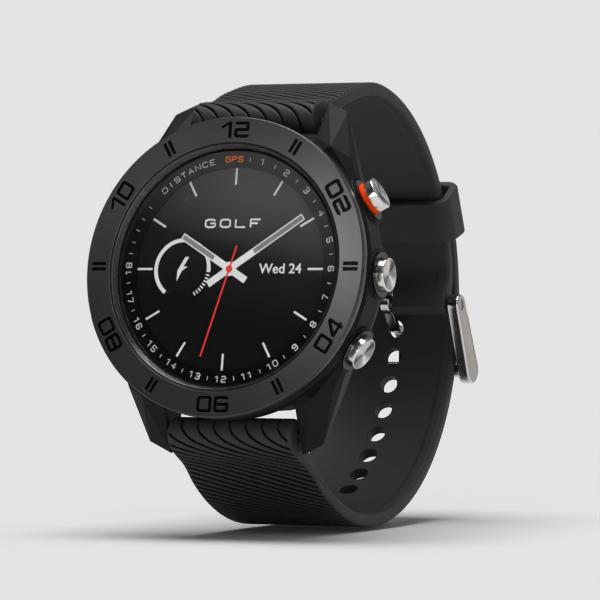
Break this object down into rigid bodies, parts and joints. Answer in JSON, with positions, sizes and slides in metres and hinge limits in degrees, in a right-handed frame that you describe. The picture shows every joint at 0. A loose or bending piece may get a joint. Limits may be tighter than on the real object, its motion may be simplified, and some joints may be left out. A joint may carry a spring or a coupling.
{
  "type": "golf gps watch",
  "caption": "Round GPS sports watch on a buckled silicone strap, with sprung side buttons, engraved bezel, lugs with release bars, sliding keeper and pin buckle.",
  "frame": {"origin": "centre of the flat back face of the case, where it lies on the wrist", "axes": "-Y out of the dial, +Y into the wrist, +Z towards 12 o'clock, +X towards 3 o'clock and the buttons"},
  "size_m": [0.0442, 0.0669, 0.0648],
  "materials": {
    "black_polymer": "fibre-reinforced polymer, fine matt grain",
    "bezel_coat": "dark grey PVD-coated steel, fine bead-blasted grain",
    "polished_steel": "dark polished stainless steel",
    "brushed_steel": "brushed stainless steel",
    "spring_steel": "drawn spring wire",
    "orange_anodised": "satin orange anodised aluminium",
    "cover_glass": "polished chemically strengthened glass",
    "border_ink": "black printed border",
    "display": "transflective colour display",
    "light_guide": "clear light guide on a white reflector",
    "frame_plastic": "moulded glass-filled nylon",
    "circuit_board": "green solder resist on glass-fibre laminate",
    "chip": "moulded epoxy chip packages",
    "ceramic": "fired ceramic antenna",
    "polyimide": "polyimide film with copper tracks",
    "cell_foil": "laminated foil pouch",
    "seal_rubber": "black silicone seal",
    "strap_silicone": "matt black moulded silicone with fine ribs"
  },
  "bodies": {
    "watch": {"case": "black_polymer", "rear_cover": "black_polymer", "rear_gasket": "seal_rubber", "rear_screws": "brushed_steel", "bezel": "bezel_coat", "bezel_gasket": "seal_rubber", "lens_ring": "polished_steel", "lens": "cover_glass", "lens_gasket": "seal_rubber", "dial_border": "border_ink", "display_panel": "display", "backlight": "light_guide", "display_frame": "frame_plastic", "flex_cable": "polyimide", "gps_antenna": "ceramic", "main_board": "circuit_board", "board_components": "chip", "button_switches": "chip", "battery": "cell_foil", "vibration_motor": "frame_plastic", "contact_block": "frame_plastic", "charge_contacts": "brushed_steel", "chassis_screws": "brushed_steel", "top_sleeve": "brushed_steel", "top_spring": "spring_steel", "middle_sleeve": "brushed_steel", "middle_spring": "spring_steel", "bottom_sleeve": "brushed_steel", "bottom_spring": "spring_steel", "upper_strap": "strap_silicone", "lower_strap": "strap_silicone", "upper_bar": "brushed_steel", "lower_bar": "brushed_steel", "upper_bar_spring": "spring_steel", "lower_bar_spring": "spring_steel", "buckle_pin": "brushed_steel"},
    "top_button_body": {"top_button": "brushed_steel", "top_oring": "seal_rubber", "top_clip": "brushed_steel", "top_button_ring": "orange_anodised"},
    "middle_button_body": {"middle_button": "brushed_steel", "middle_oring": "seal_rubber", "middle_clip": "brushed_steel"},
    "bottom_button_body": {"bottom_button": "brushed_steel", "bottom_oring": "seal_rubber", "bottom_clip": "brushed_steel"},
    "upper_release": {"upper_release_pin": "brushed_steel"},
    "lower_release": {"lower_release_pin": "brushed_steel"},
    "buckle": {"buckle_frame": "brushed_steel"},
    "tongue": {"buckle_tongue": "brushed_steel"},
    "keeper_loop": {"keeper": "strap_silicone"}
  },
  "joints": [
    {"name": "top_button_press", "type": "slide", "parent": "watch", "child": "top_button_body", "axis": [-0.866, 0, -0.5], "range_m": [0, 0.0007], "stiffness_N_per_m": 1500, "springref_m": -0.0007, "deforming": ["top_spring"]},
    {"name": "middle_button_press", "type": "slide", "parent": "watch", "child": "middle_button_body", "axis": [-1, 0, 0], "range_m": [0, 0.0007], "stiffness_N_per_m": 1500, "springref_m": -0.0007, "deforming": ["middle_spring"]},
    {"name": "bottom_button_press", "type": "slide", "parent": "watch", "child": "bottom_button_body", "axis": [-0.866, 0, 0.5], "range_m": [0, 0.0007], "stiffness_N_per_m": 1500, "springref_m": -0.0007, "deforming": ["bottom_spring"]},
    {"name": "upper_bar_release", "type": "slide", "parent": "watch", "child": "upper_release", "axis": [-1, 0, 0], "range_m": [0, 0.0012], "stiffness_N_per_m": 600, "springref_m": -0.0012, "deforming": ["upper_bar_spring"]},
    {"name": "lower_bar_release", "type": "slide", "parent": "watch", "child": "lower_release", "axis": [-1, 0, 0], "range_m": [0, 0.0012], "stiffness_N_per_m": 600, "springref_m": -0.0012, "deforming": ["lower_bar_spring"]},
    {"name": "buckle_swing", "type": "hinge", "parent": "watch", "child": "buckle", "pos_m": [0, 0.0464, 0.0045], "axis": [1, 0, 0], "range_deg": [0, 3]},
    {"name": "tongue_lift", "type": "hinge", "parent": "buckle", "child": "tongue", "pos_m": [0, 0.0464, 0.0045], "axis": [1, 0, 0], "range_deg": [0, 3]},
    {"name": "keeper_slide", "type": "hinge", "parent": "watch", "child": "keeper_loop", "pos_m": [0, 0.0172, 0], "axis": [1, 0, 0], "range_deg": [-5, 22]}
  ]
}
